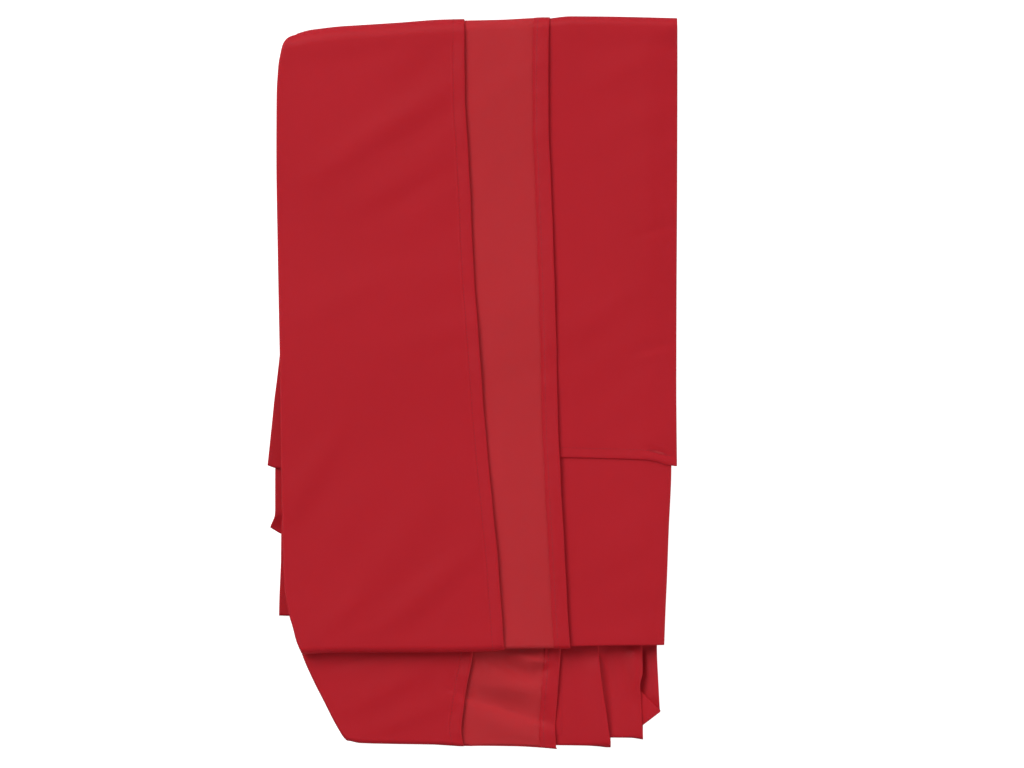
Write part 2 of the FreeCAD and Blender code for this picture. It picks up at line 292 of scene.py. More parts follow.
def cloth_material(name, deep, pale, rough, crinkle, gloss):
    """One side of the cloth: its dye from deep to pale, how rough, creased and glossy."""
    material = bpy.data.materials.new(name)
    material.use_nodes = True
    nodes, wire = material.node_tree.nodes, material.node_tree.links.new
    shader = nodes["Principled BSDF"]
    weave = nodes.new("ShaderNodeGroup")
    weave.node_tree = coated_weave
    weave.inputs["Thread Pitch"].default_value = 0.42 * MM
    weave.inputs["Crinkle"].default_value = crinkle
    tone = nodes.new("ShaderNodeMix")
    tone.data_type = "RGBA"
    tone.inputs["A"].default_value = deep
    tone.inputs["B"].default_value = pale
    wire(weave.outputs["Unevenness"], tone.inputs["Factor"])
    wire(tone.outputs["Result"], shader.inputs["Base Color"])
    worn = nodes.new("ShaderNodeMapRange")
    worn.inputs["To Min"].default_value = rough - 0.06
    worn.inputs["To Max"].default_value = rough + 0.06
    wire(weave.outputs["Unevenness"], worn.inputs["Value"])
    wire(worn.outputs["Result"], shader.inputs["Roughness"])
    bump = nodes.new("ShaderNodeBump")
    bump.inputs["Strength"].default_value = 0.35
    bump.inputs["Distance"].default_value = 0.06 * MM
    wire(weave.outputs["Height"], bump.inputs["Height"])
    wire(bump.outputs["Normal"], shader.inputs["Normal"])
    shader.inputs["Specular IOR Level"].default_value = gloss
    shader.inputs["Subsurface Weight"].default_value = 0.4
    shader.inputs["Subsurface Radius"].default_value = (1, 0.1, 0.1)
    shader.inputs["Subsurface Scale"].default_value = 3 * MM
    shader.inputs["Sheen Weight"].default_value = 0.01
    shader.inputs["Sheen Roughness"].default_value = 0.5
    return material


cloth_face = cloth_material("face_coating", srgb(192, 19, 34), srgb(202, 23, 40),
                            0.6, 0.8, 0.26)
cloth_reverse = cloth_material("reverse_weave", srgb(196, 46, 52), srgb(208, 51, 59),
                               0.8, 1.1, 0.15)

FRONT_Z = middle("front_leaf")
REVERSE_Z = middle("reverse_leaf")
BOTTOM_FOLD_Z = middle("bottom_fold_outer")

front_edge = hand_sewn(through((-246, 29), (-163, 23.1), (-117, 18.4), (-62, 13.6),
                               (-7, 8.9), (48, 4.9), (104, 1.2), (159, -1.6), (214, -4.2),
                               (270, -7), (337, -7.9)), 0.4)
reverse_edge = hand_sewn(through((-246, 89.7), (-190, 86), (-136, 83.2), (-80, 80.5),
                                 (-25, 77.8), (48, 76.6), (76, 75.8), (122, 74),
                                 (186, 71.8), (250, 69.6), (305, 69.4), (337, 71.2)), 2.1)
left_crease = through((-251, -156), (-246, -157.9), (-237, -161.5), (-223, -165.2),
                      (-215, -167.6), (-182, -172.8),
                      (-100, -175), (20, -176.6), (50, -177.2), (112, -178.4),
                      (210, -179.8), (260, -179.6), (290, -178), (302, -175.9),
                      (309.6, -174), (315, -171.2), (318, -167.6), (320, -162))
top_line = through((-162, 320.6), (-150, 324), (-140, 325.4), (-122, 327.4),
                   (-103, 328.6), (-66, 331), (-30, 333.6), (25, 334.9), (66, 336.7),
                   (90, 336.7), (120, 336.5), (188, 335))
bottom_line = through((-157, -249.8), (-142, -248.6), (-117, -247.9), (-66, -247.9),
                      (-25, -247.7), (16, -246.7), (30, -245.5), (71, -245.2), (90, -245.2))
CREASE_TURN = 5.5 * MM                 # how much of the crease bends with the bottom fold
back_edge = through((-333, -20), (-60, -14), (200, -9), (337, -7.9))
back_reverse_edge = through((-333, 60), (-60, 66), (200, 70), (337, 71.2))
back_crease = through((-333, -114), (-300, -128), (-256, -151), (-190, -170), (60, -172),
                      (290, -172), (308, -171), (321.5, -159))


def hemmed_profile(front_z, reverse_z, sides):
    """Columns across a cloth hemmed at both sides and folded at the left.

    Each is (share of the front edge, of the crease, of the reverse edge, offset, height).
    sides is -1 where the front leaf's hem lies below it, as it does face up, and +1
    where the whole cloth lies face down.
    """
    fold_r = abs(front_z - reverse_z) / 2
    columns = []
    for off in np.linspace(-HEM, -2 * EDGE_R, 4):
        columns.append((1, 0, 0, off, front_z + sides * 2 * EDGE_R))
    for a in arc(5, -90, 90):
        lift = EDGE_R * (1 - math.sin(a))
        columns.append((1, 0, 0, EDGE_R * (math.cos(a) - 1), front_z + sides * lift))
    stitched = np.concatenate([np.linspace(2.5, 8.3, 4), np.linspace(9.2, 12.4, 10),
                               [13.2, 14.6, 17, 20]])
    for off in stitched * MM:
        columns.append((1, 0, 0, -off, front_z))
    last = stitched[-1] * MM
    for f in np.linspace(0, 1, 34)[1:]:
        columns.append((1 - f, f, 0, -last * (1 - f) + fold_r * f, front_z))
    centre = (front_z + reverse_z) / 2
    for a in arc(9, 90, 270)[1:-1]:
        columns.append((0, 1, 0, fold_r * (1 + math.cos(a)),
                        centre - sides * fold_r * math.sin(a)))
    for f in np.concatenate([np.linspace(0, 0.62, 7), np.linspace(0.64, 1, 25)]):
        columns.append((0, 1 - f, f, fold_r * (1 - f) - 17 * MM * f, reverse_z))
    for off in np.concatenate([np.linspace(14.9, 11.3, 8), [9.4, 7, 4, 1.6]]) * MM:
        columns.append((0, 0, 1, -off, reverse_z))
    for a in arc(5, 0, 180):
        columns.append((0, 0, 1, EDGE_R * (math.sin(a) - 1),
                        reverse_z - sides * EDGE_R * (1 - math.cos(a))))
    for off in np.concatenate([[1.6, 4, 7, 9.6], np.linspace(10.6, 14.4, 9)]) * MM:
        lift = 2 * EDGE_R - 0.42 * MM * ease(off, 8 * MM, 13 * MM)
        columns.append((0, 0, 1, -off, reverse_z - sides * lift))
    return np.array(columns).T


near, fold, far, off, height = hemmed_profile(FRONT_Z, REVERSE_Z, -1)
over = height - HINGE_Z                            # how far above the top fold's axis
round_r = height - BOTTOM_FOLD_Z
back_z = 0.4 * MM + 0.9 * (FRONT_Z - height)       # where the same ply lies at the back
fold_slack = 0.4 * (round_r.max() - round_r)       # inner plies turn a little short
turn_slack = 0.45 * (over.max() - over)
CREASE_LOW = bottom_line(-157 * MM)                # where the crease meets the two folds
CREASE_HIGH = top_line(-162 * MM)
BACK_END = BOTTOM + 9 * MM                         # the back ends short of the end fold


def lay_across(edge, crease, other):
    """x of every column of one row, from its two edges and its crease."""
    return edge * near + crease * fold + other * far + off


def row_x(lines, at):
    """x of every column where three lines pass one place along the cloth."""
    return lay_across(*(line(at) for line in lines))


def sewn_hem(x, y, edge, hem, groove_phase, lift_phase):
    """The relief of a hem: gathers and groove at its stitches, and a free edge."""
    stitch_x = edge - hem + STITCH_IN
    return pucker(y, x - stitch_x, groove_phase) + loose_edge(y, x - edge, lift_phase)


def hem_step(x, edge):
    """How far the leaf drops beyond the inner edge of the hem folded under it."""
    return HEM_STEP * ease(edge - x, 11.4 * MM, 12.8 * MM)


rows = []
for a in arc(17, 180, 0):
    at = bottom_line(0) + round_r.max() * (1 - math.sin(a))
    at_crease = CREASE_LOW + CREASE_TURN * (1 - math.sin(a))
    x = lay_across(front_edge(at), left_crease(at_crease), reverse_edge(at))
    out = bottom_line(x) + fold_slack
    rows.append(np.stack([x, out + round_r * (1 - math.sin(a)),
                          BOTTOM_FOLD_Z + round_r * math.cos(a)], 1))
for f in np.linspace(0, 1, 226)[1:-1]:
    start = bottom_line(0) + round_r.max()
    at = start + f * (TOP - over.max() - start)
    low_crease = CREASE_LOW + CREASE_TURN
    at_crease = low_crease + f * (CREASE_HIGH - over.max() - low_crease)
    x = lay_across(front_edge(at), left_crease(at_crease), reverse_edge(at))
    low = bottom_line(x) + fold_slack + round_r
    high = top_line(x) - turn_slack - over
    y = low + f * (high - low)
    settle = ease(f, 0, 0.03) * (1 - ease(f, 0.965, 1))
    z = height + settle * rise_of(x, y, height)
    z -= np.where(height > FRONT_Z - 0.1 * MM, hem_step(x, front_edge(at)), 0) * settle
    z += np.where(height > FRONT_Z - 1.2 * MM,
                  sewn_hem(x, y, front_edge(at), HEM, 0.3, 0.9), 0) * settle
    z += np.where(height < FRONT_Z - 1.9 * MM,
                  sewn_hem(x, y, reverse_edge(at), REVERSE_HEM, 2.2, 3.7), 0) * settle
    rows.append(np.stack([x, y, z], 1))
for a in arc(27, 0, 180):
    at = CREASE_HIGH - over.max() * (1 - math.sin(a))
    at_hem = TOP - over.max() * (1 - math.sin(a))
    crease = left_crease(at) if a < math.pi / 2 else back_crease(at)
    x = lay_across(front_edge(at_hem), crease, reverse_edge(at_hem))
    out = top_line(x) - turn_slack
    reach = over if a < math.pi / 2 else HINGE_Z - back_z
    rows.append(np.stack([x, out - over * (1 - math.sin(a)),
                          HINGE_Z + reach * math.cos(a)], 1))
for f in np.linspace(0, 1, 74)[1:]:
    high = top_line(0) - over.max()
    at = high + f * (BACK_END - high)
    x = row_x((back_edge, back_crease, back_reverse_edge), at)
    start = top_line(x) - turn_slack - over
    y = start + f * (BACK_END - start)
    lift = 0.3 * MM * (1 + np.sin(y / 0.041 + x / 0.07)) * ease(f, 0, 0.1)
    rows.append(np.stack([x, y, back_z + lift], 1))
upper_grid = np.array(rows)
upper_cloth = woven("upper_cloth", upper_grid, flip=True)
finish_cloth(upper_cloth)

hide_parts("front_leaf", "front_leaf_hem", "reverse_leaf",
            "reverse_leaf_hem", "side_crease", "bottom_fold_outer", "top_turn_front",
            "top_turn_reverse", "back_leaf", "back_hem", "back_reverse_leaf",
            "back_reverse_hem")
# the zone where the cloth would bend rises with Y, so that the long leaves stay clear of it; here
# it is only passed to stitch_row, which then bakes those stitches in place
OUTER_BEND = ((0, 0.33, 0.0093), (0, 0.32992, 0.0189))
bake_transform(upper_cloth)

# ---- Inner cloth --------------------------------------------------------------------
# The same cloth goes on from the bottom fold: up the underside of the upper packet,
# round the innermost turn of the top fold, down the lower packet's front, and under at
# its end. It is a piece of its own, so that the join lies out of sight.
END_FOLD_Z = middle("end_fold_outer")
END_TURN = -327 * MM                                 # where the end fold begins to turn
TUCKED = 46 * MM                                     # how much is folded in at the end
INNER_IN = 3.6 * MM                                  # the innermost turn lies this far in
UNDER_ROWS = 118                                     # of the mesh, up to its top turn
TURN_ROWS = 16                                       # round that turn
under_height = 2 * BOTTOM_FOLD_Z - height
lower_height = 2 * HINGE_Z - under_height
end_r = lower_height - END_FOLD_Z
inner_over = under_height - HINGE_Z

turned_front_edge = through((-246, 29), (-150, 30.5), (40, 31), (337, 26))
turned_reverse_edge = through((-246, 89.7), (-150, 91), (60, 92), (337, 92))
turned_crease = through((-248, -155), (-237, -160.5), (-200, -168), (-150, -174.2),
                        (290, -174.5), (308, -172), (318, -160))
lower_front_edge = through((-337, -7.8), (-334, -7.9), (-316, -10.6), (-298, -8.7),
                           (-279, -6), (-251, -0.6), (-150, 8), (-60, 12), (337, 26))
lower_reverse_edge = through((-337, 78.6), (-325, 76.6), (-310, 75.9), (-283, 77.7),
                             (-246, 80.6), (-60, 88), (337, 92))
lower_crease = through((-331.6, -104), (-330, -112), (-325, -118.5), (-318, -123),
                       (-310, -127.6), (-292, -136.7), (-274, -145.9), (-251, -156),
                       (-238, -160), (-190, -169), (-150, -172.5), (290, -173.5),
                       (308, -171), (318, -160))
end_line = through((-112, -330.4), (-104, -331.8), (-76, -332.6), (-30, -333.4),
                   (-10, -334.8), (7, -334.4), (40, -334.8), (62, -336), (78, -337.4))
TURNED_LINES = (turned_front_edge, turned_crease, turned_reverse_edge)
LOWER_LINES = (lower_front_edge, lower_crease, lower_reverse_edge)


def crumple(x, y):
    """The wrinkles of the lower packet where it comes out from under the upper one."""
    rise = ridge(x, y, (6, -275), (62, -285), 14, 3.0, 9)
    rise += ridge(x, y, (-10, -288), (74, -315), 13, -4.3, 4)
    rise += ridge(x, y, (0, -306), (60, -326), 7, 1.6, 10)
    rise += ridge(x, y, (20, -256), (56, -274), 7, -4.2, 5)
    rise += ridge(x, y, (40, -251), (66, -259), 6, 3.4, 7)
    rise += ridge(x, y, (52, -272), (70, -262), 6, -2.4, 4)
    rise += ridge(x, y, (54, -253), (68, -256), 6, 3.2, 5)
    rise += ridge(x, y, (-112, -300), (-40, -262), 15, 1.2, 10)
    rise += ridge(x, y, (-92, -322), (-24, -296), 12, 0.8, 8)
    rise += ridge(x, y, (-30, -262), (-14, -300), 7, 0.9, 6)
    rise += ridge(x, y, (-134, -262), (-84, -250), 8, -0.9, 6)
    return np.maximum(rise, -4.2 * MM)


inner_grid = []
inner_top = CREASE_HIGH - INNER_IN
for f in np.linspace(0, 1, UNDER_ROWS):
    start = bottom_line(0) + round_r.max()
    at = start + f * (inner_top - start)
    x = row_x(TURNED_LINES, at)
    low = bottom_line(x) + fold_slack + round_r
    y = low + f * (top_line(x) - INNER_IN - inner_over - low)
    settle = ease(f, 0, 0.04) * (1 - ease(f, 0.96, 1))
    z = under_height + settle * rise_of(x, y, under_height)
    stitch_x = turned_front_edge(at) - HEM + STITCH_IN
    z -= np.where(under_height < under_height.min() + 0.1 * MM,
                  pucker(y, x - stitch_x, 4.1), 0) * settle
    inner_grid.append(np.stack([x, y, z], 1))
for a in arc(TURN_ROWS + 1, 0, 180)[1:]:
    x = row_x(TURNED_LINES if a < math.pi / 2 else LOWER_LINES, inner_top)
    out = top_line(x) - INNER_IN
    inner_grid.append(np.stack([x, out - inner_over * (1 - math.sin(a)),
                                HINGE_Z + inner_over * math.cos(a)], 1))
places = np.concatenate([np.linspace(inner_top, -236 * MM, 92)[1:],
                         np.linspace(-238 * MM, END_TURN, 48)])
for at in places:
    x = row_x(LOWER_LINES, at)
    high = top_line(x) - INNER_IN - inner_over
    low = end_line(x) + end_r
    f = (inner_top - at) / (inner_top - END_TURN)
    y = high + f * (low - high)
    settle = ease(f, 0, 0.04) * (1 - ease(f, 0.985, 1))
    shown = ease(-y, 232 * MM, 254 * MM)
    z = lower_height + settle * (0.3 * (1 - shown) * swell(x, y) + shown * crumple(x, y))
    z -= 0.35 * MM * settle * (1 - shown)
    below_front = lower_height.max() - lower_height
    z -= np.where(below_front < 0.1 * MM, hem_step(x, lower_front_edge(at)), 0) * settle
    z += np.where(below_front < 1.2 * MM,
                  sewn_hem(x, y, lower_front_edge(at), HEM, 5.7, 1.9), 0) * settle
    z += np.where(below_front > 1.2 * MM,
                  sewn_hem(x, y, lower_reverse_edge(at), REVERSE_HEM, 3.3, 4.4), 0) * settle
    z = np.minimum(z, HINGE_Z - 0.65 * MM + 6 * MM * ease(-y, 249 * MM, 262 * MM))
    inner_grid.append(np.stack([x, y, z], 1))
for a in arc(13, 0, 180):
    x = row_x(LOWER_LINES, END_TURN - 4.6 * MM * math.sin(a))
    inner_grid.append(np.stack([x, end_line(x) + end_r * (1 - math.sin(a)),
                                END_FOLD_Z + end_r * math.cos(a)], 1))
for f in np.linspace(0, 1, 10)[1:]:
    x = row_x(LOWER_LINES, END_TURN)
    x = x - 16 * MM * f * ease(x, 0, 60 * MM)
    sunk = 3.0 * MM * ease(f, 0, 0.3) * (lower_height < lower_height.max() - 2 * MM)
    inner_grid.append(np.stack([x, end_line(x) + end_r + f * TUCKED,
                                2 * END_FOLD_Z - lower_height - sunk], 1))
inner_grid = np.array(inner_grid)
inner_cloth = woven("inner_cloth", inner_grid)
finish_cloth(inner_cloth)
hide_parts("turned_front_leaf", "turned_front_hem", "turned_reverse_leaf",
            "turned_reverse_hem", "turned_side_crease", "top_turn_inner",
            "lower_front_leaf", "lower_front_hem", "lower_reverse_leaf",
            "lower_reverse_hem", "lower_side_crease", "end_fold_outer", "end_fold_inner",
            "tucked_end_leaf")
INNER_BEND = ((0, HINGE_Y, HINGE_Z - 0.3 * MM), (0, HINGE_Y, HINGE_Z + 0.35 * MM))
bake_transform(inner_cloth)

# ---- Right cloth ----------------------------------------------------------------------
# The hemmed end of the cloth at the right, face up. It is creased at the right, where it
# turns under itself, and goes over the top fold to the back.
RIGHT_UP_Z = middle("right_end_leaf")
RIGHT_DOWN_Z = 19.8 * MM
RIGHT_START = -76 * MM                               # where its crease begins, at the hem
END_HEM = 10 * MM
HIDDEN_X = 30 * MM                                   # where it ends, inside the bundle
right_crease_line = through((-80, 187.8), (0, 187.2), (60, 187.3), (180, 187.9),
                            (300, 188.2), (337, 188.0))
end_edge_line = through((30, -68), (80, -68.5), (117, -69.4), (154, -70.5), (168, -72.3),
                        (180, -76), (188, -76.8))
RIGHT_COLUMNS = ([(HIDDEN_X, 1.0, 0)] + [(x * MM, 1.0, 0) for x in np.linspace(52, 178, 46)]
                 + [(None, (1 + math.sin(a)) / 2, math.cos(a)) for a in arc(11, 90, -90)]
                 + [(x * MM, 0.0, 0) for x in np.linspace(172, 30, 12)])


def right_row(y_of, top_z, down_z, inward=0.0, crease=None):
    """One row across the right cloth; inward draws it inside itself, as in its hem."""
    points = []
    fold_r = (top_z - down_z) / 2 - inward
    for x, share, bulge in RIGHT_COLUMNS:
        if x is None:
            x = crease - inward - fold_r + fold_r * bulge
        z = down_z + inward + share * (top_z - down_z - 2 * inward)
        points.append((x, y_of(x), z))
    return np.array(points)


def margin_fall(x):
    """How far the leaves at the right sink where nothing is left beneath them."""
    return -3.4 * MM * ease(x, 156 * MM, 190 * MM) ** 1.3


def wrinkle_right(x, y):
    """Two short wrinkles that run in from the right crease, and one at the hem."""
    rise = ridge(x, y, (186, 146), (150, 134), 4.5, -0.55)
    rise += ridge(x, y, (186, 36), (142, 26), 4.0, -0.55)
    rise += ridge(x, y, (186, 30), (150, 20), 5.0, 0.4)
    rise += ridge(x, y, (186, -68), (158, -60), 2.6, -1.1, 3.4)
    rise += ridge(x, y, (184, -74), (160, -67), 2.4, 0.8)
    rise += ridge(x, y, (168, -74), (150, -62), 2.4, 0.4)
    rise += ridge(x, y, (150, -72), (128, -60), 3.0, 0.25)
    return rise


right_grid = []
hem_turns = [(END_HEM * f, EDGE_R * 2) for f in (1, 0.7, 0.4)]
hem_turns += [(EDGE_R * (1 - math.cos(a)), EDGE_R * (1 + math.sin(a)))
              for a in arc(5, 90, -90)]
for back, inward in hem_turns:
    row = right_row(lambda x, b=back: end_edge_line(x) + b, RIGHT_UP_Z, RIGHT_DOWN_Z,
                    inward, right_crease_line(RIGHT_START))
    row[:, 2] += rise_of(row[:, 0], row[:, 1], row[:, 2]) + margin_fall(row[:, 0])
    right_grid.append(row)
right_over = RIGHT_UP_Z - HINGE_Z


def right_out(x):
    """How far out the turn of the right cloth goes at the top."""
    return top_line(x) - 2.7 * MM * (1 - ease(x, 62 * MM, 90 * MM))


def upness(z):
    """1 on the right cloth's upper leaf, 0 on the one turned under it."""
    return (z - RIGHT_DOWN_Z) / (RIGHT_UP_Z - RIGHT_DOWN_Z)


def right_back(x, share):
    """Its height at the back, lower where no other leaf lies beneath it."""
    sunk = ease(x, 62 * MM, 100 * MM)
    return 4.6 * MM * (1 - sunk) + 0.5 * MM * sunk + 1.2 * MM * (1 - share)


for f in np.concatenate([np.linspace(0.003, 0.05, 9), np.linspace(0.055, 1, 128)]):
    at = RIGHT_START + f * (TOP - right_over - RIGHT_START)
    row = right_row(lambda x: 0, RIGHT_UP_Z, RIGHT_DOWN_Z, 0, right_crease_line(at))
    share = upness(row[:, 2])
    reach = row[:, 2] - HINGE_Z
    low = end_edge_line(row[:, 0]) + EDGE_R
    high = right_out(row[:, 0]) - reach
    row[:, 1] = low + f * (high - low)
    settle = 1 - ease(f, 0.95, 1)
    soft = rise_of(row[:, 0], row[:, 1], row[:, 2])
    soft += share * wrinkle_right(row[:, 0], row[:, 1])
    row[:, 2] += (soft + margin_fall(row[:, 0])) * settle
    across = row[:, 1] - end_edge_line(row[:, 0]) - END_HEM + STITCH_IN
    row[:, 2] += np.where(share > 0.9, pucker(row[:, 0], -across, 1.1), 0)
    right_grid.append(row)
for a in arc(19, 0, 180)[1:]:
    row = right_row(lambda x: 0, RIGHT_UP_Z, RIGHT_DOWN_Z, 0, right_crease_line(TOP))
    reach = row[:, 2] - HINGE_Z
    back = right_back(row[:, 0], upness(row[:, 2]))
    fall = reach if a < math.pi / 2 else HINGE_Z - back
    row[:, 1] = right_out(row[:, 0]) - reach * (1 - math.sin(a))
    row[:, 2] = HINGE_Z + fall * math.cos(a)
    right_grid.append(row)
back_right_line = through((-334, 140), (-300, 156), (-230, 168), (60, 184), (250, 187),
                          (337, 187.6))
RIGHT_BACK_END = BOTTOM + 21 * MM
for f in np.linspace(0, 1, 70)[1:]:
    at = TOP - right_over + f * (RIGHT_BACK_END - TOP + right_over)
    row = right_row(lambda x: 0, RIGHT_UP_Z, RIGHT_DOWN_Z, 0, back_right_line(at))
    narrow = back_right_line(at) / back_right_line(TOP)
    flat = np.array([x is not None for x, _, _ in RIGHT_COLUMNS])
    row[flat, 0] *= narrow
    start = right_out(row[:, 0]) - (row[:, 2] - HINGE_Z)
    row[:, 1] = start + f * (RIGHT_BACK_END - start)
    row[:, 2] = right_back(row[:, 0], upness(row[:, 2]))
    right_grid.append(row)
right_grid = np.array(right_grid)
right_cloth = woven("right_cloth", right_grid)
finish_cloth(right_cloth)
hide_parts("right_end_leaf", "right_end_hem", "right_crease",
            "top_turn_right", "back_right_leaf", "back_inner_leaf")
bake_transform(right_cloth)

# ---- Right under cloth ------------------------------------------------------------------
# The leaf seen below the end leaf's hem. It turns under at the bottom fold, runs up the
# underside of the upper packet and ends just past the innermost turn of the top fold.
UNDER_Z = 21.1 * MM
UNDER_TURNED_Z = 19.0 * MM
UNDER_FOLD_Z = (UNDER_Z + UNDER_TURNED_Z) / 2
LIP = 6 * MM                                          # its right edge, turned under
LIP_R = 0.3 * MM
UNDER_TOP = 60 * MM                                   # where it begins, under the end leaf
UNDER_LOW = -241 * MM                                 # where it turns at the bottom fold
UNDER_IN = 1.2 * MM                                   # its top turn lies inside the right's
UNDER_TAIL = 60 * MM                                  # how far it goes on past that turn
under_edge = through((-244, 176.0), (-211, 177.2), (-180, 178.6), (-136, 180.2),
                     (-80, 182.6), (20, 183))
turned_right_edge = through((-244, 176.0), (-150, 179), (60, 184), (337, 185))
under_end_line = through((30, -243.6), (92, -242.2), (140, -241.4), (176, -241.2))
pleat_top_edge = through((250, 172), (337, 174))


def lipped(left, edge, z, sense):
    """One row of (x, z) from the hidden side to an edge that is turned by a small lip."""
    xs = list(np.linspace(left, edge - LIP_R, 44))
    zs = [z] * len(xs)
    for a in arc(5, 90, -90)[1:]:
        xs.append(edge - LIP_R + LIP_R * math.cos(a))
        zs.append(z - sense * LIP_R * (1 - math.sin(a)))
    xs.append(edge - LIP)
    zs.append(z - sense * 2 * LIP_R)
    return np.array(xs), np.array(zs)


under_grid = []
for f in np.linspace(0, 1, 110):
    at = UNDER_TOP + f * (UNDER_LOW - UNDER_TOP)
    x, z = lipped(HIDDEN_X, under_edge(at), UNDER_Z, 1)
    low = under_end_line(x) + (z - UNDER_FOLD_Z)
    y = UNDER_TOP + f * (low - UNDER_TOP)
    settle = ease(1 - f, 0, 0.08)
    z = z + settle * rise_of(x, y, UNDER_Z) + margin_fall(x)
    z += ridge(x, y, (100, -238), (168, -226), 6, -0.25) * settle
    under_grid.append(np.stack([x, y, z], 1))
for a in arc(9, 0, 180)[1:]:
    x, z = lipped(HIDDEN_X, under_edge(-244 * MM), UNDER_Z, 1)
    turn_r = z - UNDER_FOLD_Z
    under_grid.append(np.stack([x, under_end_line(x) + turn_r * (1 - math.sin(a)),
                                UNDER_FOLD_Z + turn_r * math.cos(a) + margin_fall(x)], 1))
turned_over = UNDER_TURNED_Z - HINGE_Z
turned_top = top_line(120 * MM) - 3.0 * MM
for f in np.linspace(0, 1, 96)[1:]:
    at = UNDER_LOW + f * (turned_top - turned_over - UNDER_LOW)
    x, z = lipped(HIDDEN_X, turned_right_edge(at), UNDER_TURNED_Z, -1)
    start = under_end_line(x) + UNDER_Z - UNDER_FOLD_Z
    stop = right_out(x) - UNDER_IN - (z - HINGE_Z)
    y = start + f * (stop - start)
    z = z + (1 - ease(f, 0.93, 1)) * margin_fall(x)
    z += ease(f, 0, 0.06) * (1 - ease(f, 0.93, 1)) * rise_of(x, y, UNDER_TURNED_Z)
    under_grid.append(np.stack([x, y, z], 1))
for a in arc(15, 0, 180)[1:]:
    x, z = lipped(HIDDEN_X, turned_right_edge(TOP), UNDER_TURNED_Z, -1)
    reach = z - HINGE_Z
    under_grid.append(np.stack([x, right_out(x) - UNDER_IN - reach * (1 - math.sin(a)),
                                HINGE_Z + reach * math.cos(a)], 1))
for f in np.linspace(0, 1, 12)[1:]:
    x, z = lipped(HIDDEN_X, pleat_top_edge(TOP - UNDER_TAIL * f), UNDER_TURNED_Z, -1)
    reach = z - HINGE_Z
    start = right_out(x) - UNDER_IN - reach
    under_grid.append(np.stack([x, start - UNDER_TAIL * f, HINGE_Z - reach], 1))
under_grid = np.array(under_grid)
right_under_cloth = woven("right_under_cloth", under_grid, flip=True)
finish_cloth(right_under_cloth)
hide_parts("right_under_leaf", "turned_right_leaf",
            "bottom_fold_inner")
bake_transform(right_under_cloth)

# ---- Pleats -------------------------------------------------------------------------------
# At the lower right the cloth is gathered into three flat pleats. Each is turned back on itself at
# its right edge, which stands proud of the pleat below, and the first two go under together at the
# end fold; the third ends short of it.
PLEAT_END_Z = 6.2 * MM                               # middle of the fold at their ends


def folded_edge(name, node, inner, edge, start, stop_line, z, side, gap, tuck, count,
                relief=None, end_z=None):
    """A strip of doubled cloth from inner to a folded edge, side +1 to the right.

    stop_line gives where each x ends, relief how far the strip stands above z, and
    end_z, where it is given, the middle of the fold that takes its end underneath.
    """
    grid = []
    turn_r = gap / 2
    ends = [(f, 90.0) for f in np.linspace(0, 1, count)]
    if end_z:
        ends += [(1.0, a) for a in np.linspace(90, -90, 11)[1:]] + [(2.0, -90.0)]
    for f, a in ends:
        at = start + min(f, 1) * (stop_line(inner) - start)
        for _ in range(4):
            at = start + min(f, 1) * (stop_line(edge(at)) - start)
        out = edge(at)
        shares = np.linspace(0, 1, 34)
        xs = list(inner + (out - side * turn_r - inner) * shares)
        zs = [z] * len(xs)
        for turn in arc(7, 90, -90)[1:]:
            xs.append(out + side * turn_r * (math.cos(turn) - 1))
            zs.append(z - turn_r * (1 - math.sin(turn)))
        for t in (0.3, 0.65, 1):
            xs.append(out - side * (turn_r + tuck * t))
            zs.append(z - gap)
        xs, zs = np.array(xs), np.array(zs)
        away = np.abs(out - xs)
        reach = 0
        if end_z:
            reach = zs - end_z + relief(xs, stop_line(xs), away)
        ys = start + min(f, 1) * (stop_line(xs) + reach - start)
        if relief:
            zs = zs + relief(xs, ys, away)
        if end_z:
            ys = ys - reach * math.cos(math.radians(a)) + (f > 1) * 12 * MM
            zs = end_z + (zs - end_z) * math.sin(math.radians(a))
        grid.append(np.stack([xs, ys, zs], 1))
    piece = woven(name, np.array(grid), flip=side > 0)
    finish_cloth(piece)
    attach(piece, "base_packet")
    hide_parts(node)
    return piece


def below(y, depth=246, over=20):
    """How far a place has come out from under the upper packet, 0 to 1."""
    return ease(-y, depth * MM, (depth + over) * MM)


def pleat_one_relief(x, y, away):
    lift = 2.9 * MM * below(y) * np.exp(-(away / (14 * MM)) ** 2)
    return lift - 1.1 * MM * (1 - ease(x, 78 * MM, 94 * MM))


def pleat_two_relief(x, y, away):
    crest = ridge(x, y, (146, -236), (153, -286), 9, 3.6, 6) * below(y, 240, 10)
    gutter = ridge(x, y, (119, -232), (128, -318), 8, -2.4, 7) * below(y, 236, 14)
    foot = 1.3 * MM * ease(-y, 286 * MM, 318 * MM) * np.exp(-(away / (12 * MM)) ** 2)
    return crest + gutter + foot


def pleat_three_relief(x, y, away):
    near_end = 1 - ease(y - pleat_three_end(x), 0, 12 * MM)
    stand = 1.2 * MM * (1 - near_end) - 2.4 * MM * near_end
    sunk = 4.2 * MM * (1 - np.exp(-(away / (10 * MM)) ** 2))
    return (stand * np.exp(-(away / (7 * MM)) ** 2) - sunk) * below(y, 238, 12)


